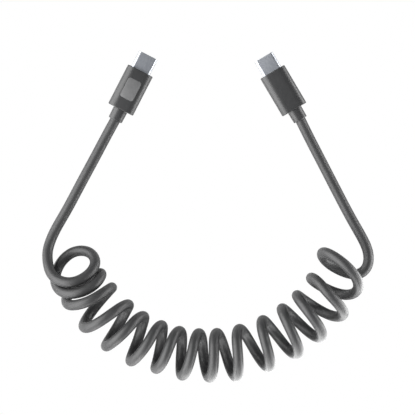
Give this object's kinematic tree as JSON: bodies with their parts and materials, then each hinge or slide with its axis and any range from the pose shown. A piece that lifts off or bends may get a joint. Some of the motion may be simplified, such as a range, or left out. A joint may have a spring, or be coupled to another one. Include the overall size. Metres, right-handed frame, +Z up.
{
  "type": "coiled USB-C cable",
  "caption": "Coiled USB-C to USB-C charging cable in grey rubber, its springy cord bent in a U with both plugs pointing the same way, lying flat.",
  "frame": {"origin": "on the floor, midway between the two plugs", "axes": "+X from the left plug to the right plug, +Y the way both plugs point, away from the coil, +Z up"},
  "size_m": [0.1306, 0.1328, 0.0221],
  "materials": {
    "shell_steel": "satin brushed",
    "housing_plastic": "matt black",
    "grip_plastic": "satin dark grey",
    "relief_rubber": "satin dark grey",
    "jacket_rubber": "satin dark grey"
  },
  "bodies": {
    "root": {"plug_shell_left": "shell_steel", "plug_shell_right": "shell_steel", "contact_housing_left": "housing_plastic", "contact_housing_right": "housing_plastic", "grip_left": "grip_plastic", "grip_right": "grip_plastic", "strain_relief_left": "relief_rubber", "strain_relief_right": "relief_rubber", "lead_left": "jacket_rubber", "lead_right": "jacket_rubber", "coil": "jacket_rubber"}
  },
  "joints": []
}
